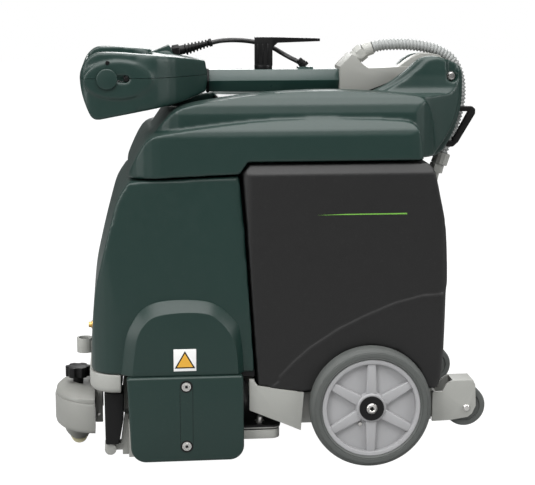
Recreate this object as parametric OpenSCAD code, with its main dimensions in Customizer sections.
// Compact walk-behind carpet extractor with its handle folded forward for storage.
// Frame: +X to the rear, +Z up, Y across the machine, origin on the floor under the middle.
// Side outlines are lists of [x, z] points; plan outlines are lists of [x, y] points.

/* [Wheels] */
// Radius of the main wheels
wheel_r = 127; // [124:1:130]
// Distance of the main axle behind the origin
wheel_x = 202; // [200:1:204]
// Width of a main tyre
tyre_w = 46; // [42:1:46]
// Distance from the centre plane to a tyre's outer face
tyre_y = 240; // [239:1:242]
// Radius of the rear tilt-back rollers
roller_r = 43.5; // [42:0.5:44]
// Width of a rear roller
roller_w = 34; // [30:1:34]

/* [Body] */
// Half width of the front shell at its foot
shell_y = 206; // [204:1:207]
// Half width of the solution tank
tank_y = 208; // [206:1:210]
// Wall thickness of the moulded shells
wall = 5; // [4:0.5:6]
// Radius of the wheel arch in the solution tank
arch_r = 145; // [142:1:147]

/* [Brush deck] */
// Radius of a brush over its bristles
brush_r = 38; // [36:1:38]
// Half width of the deck over its side covers
deck_y = 236; // [234:1:238]
// Length of the brushes
brush_l = 396; // [380:2:400]

/* [Handle] */
// Height of the handle pivot
pivot_z = 798; // [797:1:799]
// Distance of the handle pivot behind the origin
pivot_x = 390; // [389:1:391]
// Half width of the control head
head_y = 150; // [146:1:152]
// Radius of the transverse grip bar
grip_r = 15; // [13:0.5:15]
// Outer diameter of the corrugated conduit
conduit_d = 25; // [22:1:25]
// Diameter of the control cable
cable_d = 10; // [8:1:10]

/* [Hidden] */
$fn = 64;
green = [0.13, 0.24, 0.21];
grey = [0.66, 0.67, 0.64];
black = [0.08, 0.08, 0.08];
steel = [0.72, 0.72, 0.74];
track = tyre_y - tyre_w / 2;
roller_x = 410;
roller_z = 111;
roller_y = 169;
grip_x = -330;
grip_z = 802;
bail_x = -291;
brush_xs = [-232, -132];
brush_z = 50;
guide_x = -405;
guide_roller_r = 17.5;
tube_z = 788;
rocker_x = -206;
rocker_z = 740;
rocker_pin_r = 3;
// Points on a smooth line through the given ones, with n steps between neighbours.
function curve(p, n = 3) = let (m = len(p)) concat([for (i = [0:m - 2]) for (k = [0:n - 1])
    let (t = k / n, a = p[max(i - 1, 0)], b = p[i], c = p[i + 1], d = p[min(i + 2, m - 1)])
    0.5 * (2 * b + (c - a) * t + (2 * a - 5 * b + 4 * c - d) * t * t + (3 * b - a - 3 * c + d) * t * t * t)],
    [p[m - 1]]);
shell_side = concat([[-372, 202]], curve([[-372, 240], [-368, 310], [-361, 375], [-350, 425], [-339, 470],
    [-323, 530], [-311, 566], [-290, 598]]), [[-67, 607], [-57, 500], [-53, 417], [-42, 242], [-38, 202]]);
hood_outer = curve([[-312, 207], [-302, 277], [-286, 315], [-266, 340], [-236, 354], [-188, 358], [-138, 354],
    [-112, 343], [-88, 323], [-70, 297], [-62, 245], [-60, 207]], 2);
hood_inner = curve([[-292, 207], [-281, 281], [-264, 316], [-239, 332], [-188, 338], [-143, 336], [-118, 327],
    [-94, 303], [-80, 277], [-73, 245], [-70, 207]], 2);
cover_side = [[-300, 190], [-301, 105], [-294, 45], [-286, 30], [-272, 24], [-86, 24], [-70, 29], [-62, 42],
    [-60, 100], [-64, 203], [-300, 203]];
tank_side = concat([[-60, 612], [-52, 513], [-36, 250], [-30, 174], [60, 158], [345, 153]],
    curve([[352, 181], [358, 243], [361, 360], [364, 388], [358, 491], [344, 564], [331, 618], [318, 630]]),
    [[-46, 630]]);
tank_cavity = [[-24, 182], [62, 166], [345, 161], [352, 243], [355, 360], [352, 491], [338, 564], [326, 606],
    [-50, 606], [-45, 513], [-30, 250]];
skirt_side = concat([[-290, 603]], curve([[-287, 618], [-272, 650], [-255, 678], [-236, 690], [-200, 696],
    [-147, 703], [-35, 715], [78, 720], [172, 719], [262, 715], [290, 709], [302, 694], [310, 660]], 2),
    [[311, 636], [-50, 636], [-66, 612], [-282, 603]]);
crown_side = concat(curve([[-236, 690], [-216, 716], [-195, 736], [-171, 745], [-143, 751], [-105, 757],
    [-40, 766], [40, 772], [138, 774], [218, 770], [290, 765], [318, 757], [332, 735], [342, 700]], 2),
    [[350, 640], [350, 636], [-236, 636]]);
ear_top = curve([[206, 762], [248, 779], [289, 807], [310, 826], [322, 835], [334, 839], [351, 840],
    [368, 837], [400, 825], [410, 811], [413, 797], [413, 753], [410, 730], [400, 690], [381, 652], [369, 638],
    [354, 628]], 2);
ear_side = concat([[196, 753]], ear_top, [[353, 650], [347, 700], [330, 753]]);
saddle_rail = concat([[150, 700], [150, 756], [185, 759]], ear_top, [[340, 640], [300, 700]]);
saddle_side = concat([[150, 700], [150, 755], [200, 757]], curve([[232, 763], [257, 775], [284, 790],
    [309, 808], [326, 824], [338, 833], [357, 836], [372, 833], [395, 821], [404, 808], [407, 777], [406, 746],
    [397, 715], [379, 678], [352, 644]]), [[340, 644], [300, 700]]);
saddle_plan = [[150, -76], [150, -166], [230, -162], [290, -148], [335, -128], [370, -108], [395, -93],
    [410, -84], [415, -76]];
saddle_front = [[-76, 600], [-168, 600], [-166, 700], [-158, 745], [-150, 760], [-100, 764], [-92, 775],
    [-88, 800], [-85, 842], [-76, 842]];
tower_back = [[410, 735], [410, 730], [400, 690], [381, 652], [369, 638], [361, 642], [373, 656], [392, 692],
    [402, 731], [402, 735]];
head_side = concat(curve([[-344, 720], [-354, 720], [-363, 726], [-372, 745], [-381, 773], [-385, 803],
    [-381, 822], [-372, 838], [-360, 849], [-345, 854], [-310, 854], [-271, 851], [-191, 844], [-126, 832]],
    2),
    [[-122, 804], [-122, 787], [-126, 767], [-172, 752]]);
head_plan = concat(curve([[-385, -112], [-382, -132], [-372, -146], [-352, -head_y], [-250, -head_y],
    [-222, -143], [-190, -122], [-140, -66], [-122, -46]], 2), curve([[-122, 46], [-140, 66], [-190, 122],
    [-222, 143], [-250, head_y], [-352, head_y], [-372, 146], [-382, 132], [-385, 112]], 2));
yoke_side = [[159, 766], [159, 817], [185, 843], [211, 819], [220, 813], [295, 816], [345, 815], [380, 814],
    [398, 812], [407, 798], [398, 784], [380, 782], [340, 787], [290, 792], [250, 778], [214, 764]];
fork_side = [[338, 146], [359, 147], [367, 162], [380, 170], [424, 170], [429, 160], [431, 114], [423, 97],
    [414, 90], [375, 84], [338, 83]];
guard_side = [[-49, 187], [-41, 187], [-31, 173], [64, 157], [58, 76], [17, 94], [-49, 122]];
link_side = [[-347, 159], [-347, 150], [-346, 49], [-318, 49], [-308, 103], [-306, 159]];
link_plate_side = [[-330, 32], [-311, 32], [-311, 22], [-298, 22], [-298, 110], [-305, 110], [-314, 46],
    [-330, 46]];
yoke_hump = [[280, 812], [288, 818], [309, 833], [330, 843], [351, 844], [372, 840], [383, 830], [392, 812]];
tow_outer = [[411, 730], [448, 730], [455, 724], [455, 714], [419, 653], [408, 643], [396, 643], [383, 654],
    [389, 666], [400, 656], [406, 656]];
tow_inner = [[416, 719], [440, 719], [410, 664], [404, 662], [402, 668], [414, 700]];
conduit_route = [[236.4, 854.7], [248, 858], [262, 860], [290, 861], [318, 860], [342, 857], [364, 852],
    [386, 843], [405, 830], [418, 812], [426, 790], [429, 768], [429, 742], [424, 712], [416, 684], [407, 662],
    [399, 644], [390.5, 623]];
cable_route = [[-112, 0, 866], [-92, 5, 870], [-69, 17, 871], [-45, 26, 870], [-20, 30, 867], [5, 30, 861],
    [25, 30, 853], [42, 27, 843], [58, 19, 834], [72, 9, 827], [84, 0, 820]];

// A side outline drawn between two Y planes.
module side(y0, y1) {
    translate([0, y1, 0]) rotate([90, 0, 0]) linear_extrude(y1 - y0) children();
}
// The same solid on both sides of the centre plane.
module both() {
    children();
    mirror([0, 1, 0]) children();
}
// A round bar along Y between two Y planes.
module bar(x, z, r, y0, y1) {
    translate([x, y0, z]) rotate([-90, 0, 0]) cylinder(r = r, h = y1 - y0);
}
// A plan outline raised between two heights.
module plan(z0, z1) {
    translate([0, 0, z0]) linear_extrude(z1 - z0) children();
}
// A rectangle with cylindrical corners.
module round_rect(x0, x1, y0, y1, r) {
    corners = [[x1 - r, y1 - r, 0], [x0 + r, y1 - r, 90], [x0 + r, y0 + r, 180], [x1 - r, y0 + r, 270]];
    polygon([for (c = corners)
        for (a = [0:15:90]) [c[0] + r * cos(c[2] + a), c[1] + r * sin(c[2] + a)]]);
}
// A box given by two corners.
module block(a, b) {
    translate(a) cube(b - a);
}
// A front-view outline between two X planes.
module front(x0, x1) {
    translate([x0, 0, 0]) rotate([90, 0, 90]) linear_extrude(x1 - x0) children();
}
function unit(v) = v / norm(v);
// A round tube of closed ends swept along a list of points.
module sweep(points, d, sides) {
    count = len(points);
    dirs = [for (i = [0:count - 1]) unit(points[min(i + 1, count - 1)] - points[max(i - 1, 0)])];
    rings = [for (i = [0:count - 1]) let (n = unit(cross([0, 1, 0.001], dirs[i])), b = cross(dirs[i], n))
        for (k = [0:sides - 1]) points[i] + d / 2 * (cos(360 * k / sides) * n + sin(360 * k / sides) * b)];
    walls = [for (i = [0:count - 2]) for (k = [0:sides - 1]) let (a = i * sides + k,
        b = i * sides + (k + 1) % sides) each [[a, a + sides, b], [b, a + sides, b + sides]]];
    last = (count - 1) * sides;
    polyhedron(rings, concat(walls, [[for (k = [0:sides - 1]) k]],
        [[for (k = [sides - 1:-1:0]) last + k]]));
}

// ---- Chassis ----
module chassis_frame() {
    color(grey) difference() {
        union() {
            plan(195, 199) round_rect(-362, -200, -184, 184, 46);
            block([-300, -184, 195], [-45, 184, 199]);
            block([-45, -184, 142], [-38, 184, 199]);
            block([-45, -184, 146], [338, 184, 150]);
            both() block([26, -184, 84], [338, -176, 150]);
            block([330, -184, 84], [338, 184, 150]);
            both() bar(wheel_x, wheel_r, 26, 150, 188);
        }
        both() bar(wheel_x, wheel_r, 11.1, 140, 200);
        // Way through for the vacuum hose
        translate([-180, 0, 190]) cylinder(r = 30, h = 12);
    }
}
module front_bumper() {
    color(grey) difference() {
        plan(162, 202) round_rect(-376, -240, -204, 204, 60);
        plan(150, 199) round_rect(-368, -230, -196, 196, 52);
        block([-312, -210, 150], [-200, 210, 202]);
    }
}
module guard_plates() {
    color(grey) both() {
        side(-211, -204) polygon(guard_side);
        block([52, -204, 90], [60, -184, 150]);
        block([-49, -204, 150], [-38, -184, 185]);
    }
}
module rear_forks() {
    color(grey) both() {
        side(-196, -189) polygon(fork_side);
        side(-149, -142) polygon(fork_side);
        block([338, -189, 90], [346, -149, 146]);
        block([381, -189, 163], [424, -149, 170]);
        bar(roller_x, roller_z, 6, -200, -138);
    }
}
module wheel_axle() {
    color(steel) bar(wheel_x, wheel_r, 11, -tyre_y - 4, tyre_y + 4);
}
// What two copies of a solid, moved forward and back, have in common.
module for_both_ends(move) {
    intersection() {
        translate([move, 0, 0]) children();
        translate([-move, 0, 0]) children();
    }
}
module shell_form(inset) {
    intersection() {
        for_both_ends(inset) side(-shell_y + inset, shell_y - inset) polygon(shell_side);
        plan(150, 640) round_rect(-373 + inset, 40, -shell_y + inset, shell_y - inset, 62);
        front(-400, 0) polygon([[-shell_y + inset, 190], [-shell_y + inset, 330], [-192 + inset, 610],
            [192 - inset, 610], [shell_y - inset, 330], [shell_y - inset, 190]]);
    }
}
module front_shell() {
    color(green) difference() {
        shell_form(0);
        intersection() {
            shell_form(wall);
            block([-366, -210, 200], [-46, 210, 592]);
        }
        // Ports for the hose cup and the coupler
        translate([-380, 0, 262]) rotate([0, 90, 0]) cylinder(r = 9, h = 40);
    }
}
module deck_hoods() {
    color(green) both() {
        side(-217, -shell_y) polygon(hood_outer);
        side(-228, -217) polygon(hood_inner);
    }
}
module solution_tank() {
    color(black) difference() {
        intersection() {
            side(-tank_y, tank_y) polygon(tank_side);
            plan(100, 650) round_rect(-61, 366, -tank_y, tank_y, 20);
        }
        both() bar(wheel_x + 2, wheel_r, arch_r, -230, -188);
        side(-182, 182) polygon(tank_cavity);
        intersection() {
            side(-tank_y + wall, tank_y - wall) polygon(tank_cavity);
            block([-100, -tank_y, 280], [400, tank_y, 600]);
        }
        // Lens-shaped finger recess under the recovery tank
        both() translate([161, -tank_y, 652]) rotate([-90, 0, 0]) cylinder(r = 32, h = 14);
    }
}
// Flank that runs from the crown up to a pivot ear.
module saddle() {
    side(-80, -76) polygon(saddle_rail);
    intersection() {
        side(-168, -80) polygon(saddle_side);
        plan(600, 850) polygon(saddle_plan);
        front(150, 420) polygon(saddle_front);
    }
}
module recovery_tank() {
    color(green) difference() {
        union() {
            intersection() {
                side(-200, 200) polygon(skirt_side);
                front(-300, 360) polygon([[-202, 590], [-200, 688], [-196, 700], [-186, 709], [-168, 722],
                    [168, 722], [186, 709], [196, 700], [200, 688], [202, 590]]);
                plan(590, 730) round_rect(-292, 350, -200, 200, 66);
            }
            intersection() {
                side(-168, 168) polygon(crown_side);
                front(-300, 360) polygon([[-168, 600], [-166, 730], [-161, 748], [-150, 762], [-132, 774],
                    [132, 774], [150, 762], [161, 748], [166, 730], [168, 600]]);
                plan(620, 790) round_rect(-240, 352, -168, 168, 70);
            }
            both() saddle();
        }
        // Recesses round the pivot bolts
        both() bar(pivot_x, pivot_z, 12, -100, -76);
        both() block([pivot_x - 12, -100, pivot_z], [pivot_x + 12, -76, 850]);
        // Channel under the folded tube and the yoke
        block([-100, -76, 753], [430, 76, 790]);
        block([-250, -76, 729], [-100, 76, 790]);
        // Hollow of the skirt, then of the crown
        block([-262, -140, 618], [-225, 140, 650]);
        block([-225, -180, 618], [-70, 180, 684]);
        block([-70, -188, 642], [296, 188, 690]);
        block([-185, -150, 684], [-100, 150, 722]);
        block([-100, -150, 684], [318, 150, 746]);
        block([296, -120, 646], [335, 120, 700]);
    }
}
module lid_plate() {
    color(black) plan(753, 759) round_rect(40, 268, -54, 54, 14);
}
module pivot_ears() {
    color(green) difference() {
        union() {
            both() side(-76, -58) polygon(ear_side);
            // Back wall between the ears
            side(-58, 58) polygon(tower_back);
        }
        bar(pivot_x, pivot_z, 9, -80, 80);
    }
}
module pivot_bolts() {
    color(steel) both() {
        bar(pivot_x, pivot_z, 7.2, -80, -76);
        bar(pivot_x, pivot_z, 9, -76, -50);
    }
}
module tow_handle() {
    color(black) difference() {
        side(-28, -14) polygon(tow_outer);
        side(-29, -13) polygon(tow_inner);
    }
}
module hose_cup() {
    color(grey) difference() {
        union() {
            translate([-389, 0, 202.5]) cylinder(r = 17, h = 31.5);
            block([-389, -10, 204], [-372, 10, 228]);
        }
        translate([-389, 0, 206]) cylinder(r = 13, h = 40);
    }
}
module hose_cup_liner() {
    color(black) translate([-389, 0, 206]) difference() {
        cylinder(r = 12.94, h = 24);
        translate([0, 0, 2]) cylinder(r = 10.5, h = 40);
    }
}
module quick_coupler() {
    color([0.75, 0.55, 0.25]) difference() {
        translate([-380, 0, 262]) rotate([0, 90, 0]) union() {
            cylinder(r = 6, h = 6);
            translate([0, 0, 6]) cylinder(r = 8.8, h = 18);
        }
        translate([-381, 0, 262]) rotate([0, 90, 0]) cylinder(r = 3, h = 18);
    }
}
module conduit_elbow() {
    color(grey) union() {
        translate([378, 12, 584]) rotate([0, 14, 0]) cylinder(r = 16, h = 19, $fn = 6);
        translate([382, 12, 602]) rotate([0, 22, 0]) cylinder(r = 14.5, h = 19);
        hull() {
            translate([378, 12, 587]) sphere(r = 10, $fn = 24);
            translate([373, 12, 564]) sphere(r = 10, $fn = 24);
        }
        hull() {
            translate([373, 12, 564]) sphere(r = 10, $fn = 24);
            translate([362, 12, 554]) sphere(r = 10, $fn = 24);
        }
    }
}
module conduit() {
    color(grey) sweep([for (p = conduit_route) [p[0], 12, p[1]]], conduit_d, 10);
}
module safety_label() {
    color("white") block([-205, -229, 214], [-159, -228, 260]);
}
module vacuum_motor() {
    color(black) translate([-180, 0, 199]) cylinder(r = 72, h = 170);
}
module solution_pump() {
    color(black) union() {
        block([-310, 60, 199], [-262, 130, 245]);
        translate([-286, 130, 222]) rotate([-90, 0, 0]) cylinder(r = 18, h = 36);
    }
}
// ---- Front guide roller unit ----
module guide_plan(grow) {
    intersection() {
        translate([-355, 0]) polygon([for (a = [0:6:360]) [(98 + grow) * cos(a), (122 + grow) * sin(a)]]);
        translate([-460, -150]) square([92, 300]);
    }
}
module guide_housing() {
    color(grey) difference() {
        plan(52, 118) guide_plan(2);
        plan(58, 116) guide_plan(-6);
        plan(112, 130) guide_plan(-4);
    }
}
module guide_cap() {
    color(grey) difference() {
        union() {
            plan(112, 124) guide_plan(-4.5);
            translate([guide_x, 0, 124]) cylinder(r = 20, h = 6);
        }
        translate([guide_x, 0, 100]) cylinder(r = 8.5, h = 40);
    }
}
module guide_bracket() {
    color(grey) both() {
        block([-368, -66, 62], [-352, -54, 161]);
        block([-362, -66, 161], [-352, -54, 195]);
        block([-368, -54, 62], [-360, 0, 110]);
    }
}
module guide_bowl() {
    color(grey) translate([guide_x, 0, 0]) difference() {
        rotate_extrude() polygon([[0, 52], [31, 52], [32, 40], [29, 28], [22, 18], [16, 12], [0, 12]]);
        block([-19, -13.5, 0], [19, 13.5, 40]);
    }
}
module guide_roller() {
    color([0.85, 0.82, 0.66]) bar(guide_x, guide_roller_r, guide_roller_r, -12.5, 12.5);
}
module guide_knob() {
    color(black) translate([guide_x, 0, 0]) union() {
        translate([0, 0, 104]) cylinder(r = 8, h = 28);
        translate([0, 0, 131]) cylinder(r = 11, h = 20);
        translate([0, 0, 149]) difference() {
            cylinder(r = 27, h = 22);
            for (a = [0:60:300]) rotate(a + 30) translate([32, 0, -1]) cylinder(r = 9.5, h = 30);
        }
    }
}
// ---- Wheels ----
module tyre(s) {
    color([0.4, 0.42, 0.4]) translate([0, s * track, 0]) translate([wheel_x, 0, wheel_r]) rotate([90, 0, 0])
        rotate_extrude($fn = 96) polygon([[103, -20], [112, -tyre_w / 2], [120, -22], [wheel_r, -12],
            [wheel_r, 12], [120, 22], [112, tyre_w / 2], [103, 20]]);
}
module rim(s) {
    color([0.73, 0.73, 0.74]) translate([wheel_x, s * track, wheel_r]) rotate([90, 0, 0]) difference() {
        cylinder(r = 103, h = 40, center = true, $fn = 96);
        for (side = [-1, 1]) translate([0, 0, side * 18]) difference() {
            cylinder(r = 93, h = 24, center = true, $fn = 96);
            cylinder(r = 31, h = 26, center = true);
            for (a = [0:60:300]) rotate(a + 90) translate([55, 0, 0]) cube([90, 15, 26], center = true);
        }
        cylinder(r = 11.06, h = 60, center = true);
    }
}
module hub_cap(s) {
    color(black) translate([wheel_x, s * (track + 20), wheel_r]) rotate([-90 * s, 0, 0]) difference() {
        cylinder(r = 25, h = 4);
        translate([0, 0, -1]) cylinder(r = 12, h = 6);
    }
}
module roller(s) {
    color([0.4, 0.42, 0.4]) difference() {
        bar(roller_x, roller_z, roller_r, s * roller_y - roller_w / 2, s * roller_y + roller_w / 2);
        bar(roller_x, roller_z, 6.06, -220, 220);
    }
}
// ---- Brush deck ----
module deck_housing() {
    color(grey) difference() {
        block([-298, -212, 30], [-66, 212, 100]);
        block([-292, -206, 20], [-72, 206, 94]);
        for (x = brush_xs) bar(x, brush_z, 7, -220, 220);
    }
}
module deck_covers() {
    color(green) both() difference() {
        side(-deck_y, -213) polygon(cover_side);
        for (z = [57, 183]) bar(-180, z, 9.5, -deck_y - 1, -deck_y + 3);
        block([-189, -deck_y - 1, 57], [-171, -deck_y + 1.5, 183]);
    }
}
module deck_cover_bolts() {
    color(steel) both() for (z = [57, 183]) {
        bar(-180, z, 8.5, -deck_y + 1, -deck_y + 3);
    }
}
module deck_links() {
    color(black) both() side(-186, -120) polygon(link_side);
}
module deck_link_pivots() {
    color(grey) both() {
        bar(-336, 37, 12, -180, -126);
        side(-168, -138) polygon(link_plate_side);
    }
}
module deck_skids() {
    color(black) plan(80, 86) round_rect(-66, 18, -200, 200, 18);
    both() {
        color(grey) plan(56, 80) round_rect(-66, 16, -198, -152, 17);
        color(steel) translate([-25, -176, 86]) cylinder(r = 7, h = 14);
    }
}
module brush_motor() {
    color(black) union() {
        bar(-182, 144, 38, -120, 120);
        block([-214, -60, 100], [-150, 60, 120]);
    }
}
module brush(x) {
    color([0.5, 0.5, 0.52]) union() {
        bar(x, brush_z, brush_r, -brush_l / 2, brush_l / 2);
        bar(x, brush_z, 6.94, -211, 211);
    }
}
// ---- Handle ----
module handle_yoke() {
    color(grey) difference() {
        union() {
            side(-40, 40) polygon(yoke_side);
            side(-36, -2) polygon(yoke_hump);
            bar(pivot_x, pivot_z, 17, -52, 52);
        }
        bar(pivot_x, pivot_z, 9.06, -60, 60);
    }
}
module tube_form(x0, x1, grow) {
    w = 20 + grow;
    h = 23 + grow;
    front(x0, x1) polygon([[-w - 10, tube_z], [-w, tube_z + h], [w, tube_z + h], [w + 10, tube_z],
        [w, tube_z - h], [-w, tube_z - h]]);
}
module handle_tube() {
    color(green) union() {
        difference() {
            tube_form(-117, 159, 0);
            tube_form(-110, 150, -3);
        }
        // Boss under the rear cable gland
        block([73, -14, 810], [105, 14, 815.4]);
    }
}
module tube_collar() {
    color(black) tube_form(-122, -117, 2);
}
module head_form() {
    intersection() {
        side(-head_y, head_y) polygon(head_side);
        plan(700, 870) polygon(head_plan);
    }
    both() side(-head_y - 5, -head_y)
        polygon([for (a = [0:12:348]) [-308 + 70 * cos(a), 800 + 38 * sin(a)]]);
}
module head_cuts() {
    // Finger opening, hollows beside it and the bar ends
    plan(700, 870) round_rect(-370, -238, -104, 104, 12);
    both() block([-366, -142, 745], [-250, -110, 840]);
    block([-222, -100, 768], [-196, 100, 830]);
    block([-190, -58, 778], [-135, 58, 824]);
    bar(grip_x, grip_z, grip_r + 0.1, -160, 160);
    both() for (x = [bail_x - 14, bail_x]) bar(x, grip_z, 6.5, 90, 160);
    both() block([bail_x - 14, 90, grip_z - 6.5], [bail_x, 160, grip_z + 6.5]);
}
module head_upper() {
    color(green) union() {
        intersection() {
            difference() {
                head_form();
                head_cuts();
            }
            block([-400, -170, 803], [-100, 170, 870]);
        }
        // Wedge boss behind the front cable gland
        side(-16, 16) polygon([[-236, 846], [-198, 862], [-190, 840]]);
    }
}
module head_lower() {
    color(green) difference() {
        intersection() {
            difference() {
                head_form();
                head_cuts();
            }
            block([-400, -170, 700], [-100, 170, 803]);
        }
        block([-231, -56, 700], [-183, 56, rocker_z + 10]);
    }
}
module head_grip() {
    color(black) bar(grip_x, grip_z, grip_r, -head_y - 5, head_y + 5);
}
module boss_caps() {
    color(green) both() bar(grip_x, grip_z, 21, -head_y - 11, -head_y - 5);
}
module switch_panel() {
    color(black) difference() {
        block([-230, -55, rocker_z], [-184, 55, rocker_z + 10]);
        for (y = [-25, 25]) {
            block([rocker_x - 11, y - 16, rocker_z - 1], [rocker_x + 11, y + 16, rocker_z + 11]);
            bar(rocker_x, rocker_z + 5, rocker_pin_r + 0.06, y - 18, y + 18);
        }
    }
}
module rocker(y) {
    color([0.3, 0.3, 0.32]) union() {
        block([rocker_x - 9, y - 14, rocker_z - 3], [rocker_x + 9, y + 14, rocker_z + 4]);
        bar(rocker_x, rocker_z + 5, rocker_pin_r, y - 18, y + 18);
    }
}
module trigger_bar() {
    color(black) bar(bail_x, grip_z, 5.5, -head_y - 4, head_y + 4);
}
module cord_hook() {
    color(black) union() {
        translate([0, 0, tube_z + 23.4]) cylinder(r = 19, h = 8);
        block([-18, -9, tube_z + 30], [19, 9, 868]);
        side(-9, 9) polygon([[-18, 866], [-18, 878], [19, 878], [120, 875], [120, 869], [30, 866],
            [19, 856]]);
    }
}
module cable_glands() {
    color(black) union() {
        translate([-200, 0, 847]) rotate([0, 80, 0]) cylinder(r = 11, h = 30);
        translate([-171, 0, 851]) rotate([0, 75, 0]) cylinder(r1 = 11, r2 = 7, h = 60);
        translate([89, 0, 812]) rotate([0, -25, 0]) cylinder(r = 11, h = 18);
    }
}
module control_cable() {
    color(black) sweep(cable_route, cable_d, 8);
}
module conduit_gland() {
    color(grey) union() {
        translate([198, 12, 831.2]) rotate([0, 43, 0]) cylinder(r = 16, h = 9);
        translate([203.5, 12, 837]) rotate([0, 50, 0]) cylinder(r = 18, h = 16, $fn = 6);
        translate([215.7, 12, 847.2]) rotate([0, 70, 0]) cylinder(r = 14.5, h = 20);
    }
}

chassis_frame();
front_bumper();
guard_plates();
rear_forks();
wheel_axle();
front_shell();
deck_hoods();
solution_tank();
recovery_tank();
lid_plate();
pivot_ears();
pivot_bolts();
tow_handle();
hose_cup();
hose_cup_liner();
quick_coupler();
conduit_elbow();
conduit();
safety_label();
vacuum_motor();
solution_pump();
guide_housing();
guide_cap();
guide_bracket();
guide_bowl();
guide_roller();
guide_knob();
tyre(-1);  // tyre_left
rim(-1);  // rim_left
hub_cap(-1);  // hub_cap_left
tyre(1);  // tyre_right
rim(1);  // rim_right
hub_cap(1);  // hub_cap_right
roller(-1);  // roller_left
roller(1);  // roller_right
deck_housing();
deck_covers();
deck_cover_bolts();
deck_links();
deck_link_pivots();
deck_skids();
brush_motor();
brush(brush_xs[0]);  // brush_front
brush(brush_xs[1]);  // brush_rear
handle_yoke();
handle_tube();
tube_collar();
head_upper();
head_lower();
head_grip();
boss_caps();
switch_panel();
rocker(-25);  // rocker_a
rocker(25);  // rocker_b
trigger_bar();
cord_hook();
cable_glands();
control_cable();
conduit_gland();
